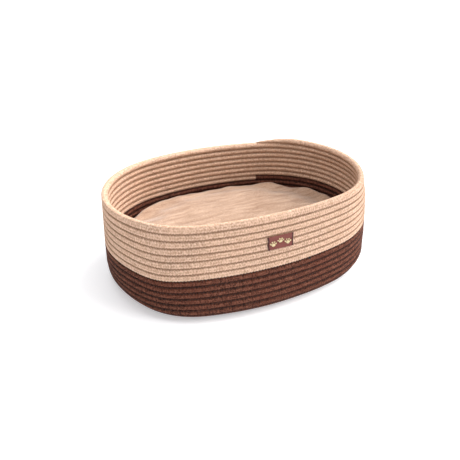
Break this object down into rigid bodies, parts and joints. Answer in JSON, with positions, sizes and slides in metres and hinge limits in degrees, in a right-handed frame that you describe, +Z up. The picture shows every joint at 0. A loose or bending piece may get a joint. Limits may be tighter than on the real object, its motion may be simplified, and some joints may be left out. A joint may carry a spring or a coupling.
{
  "type": "coiled rope pet bed basket",
  "caption": "Low oval pet bed basket coiled from sewn cotton rope in two colours, with a loose padded cushion that lifts out.",
  "frame": {"origin": "on the floor, under the middle of the oval base", "axes": "+X along the basket's length, +Y across it towards the back, -Y towards the side with the label, +Z up"},
  "size_m": [0.4058, 0.2956, 0.1423],
  "materials": {
    "brown_rope": "soft braided cotton rope, dark brown",
    "tan_rope": "soft braided cotton rope, light tan",
    "brown_thread": "dark brown sewing thread",
    "tan_thread": "tan sewing thread",
    "label_cloth": "woven damask tab, dark red brown",
    "label_embroidery": "cream embroidery thread",
    "label_thread": "dark red sewing thread",
    "dark_thread": "near black knotted thread",
    "cushion_cloth": "beige short pile plush",
    "cushion_fibre": "white polyester fibre filling"
  },
  "bodies": {
    "basket": {"base_rope_brown": "brown_rope", "wall_rope_brown": "brown_rope", "wall_rope_tan": "tan_rope", "outer_seam_brown": "brown_thread", "inner_seam_brown": "brown_thread", "outer_seam_tan": "tan_thread", "inner_seam_tan": "tan_thread", "label_tab": "label_cloth", "label_print": "label_embroidery", "label_stitches": "label_thread", "thread_knot": "dark_thread"},
    "cushion": {"cushion_top_panel": "cushion_cloth", "cushion_bottom_panel": "cushion_cloth", "cushion_filling": "cushion_fibre"}
  },
  "joints": [
    {"name": "cushion_lift", "type": "slide", "parent": "basket", "child": "cushion", "axis": [0, 0, 1], "range_m": [0, 0.16]}
  ]
}
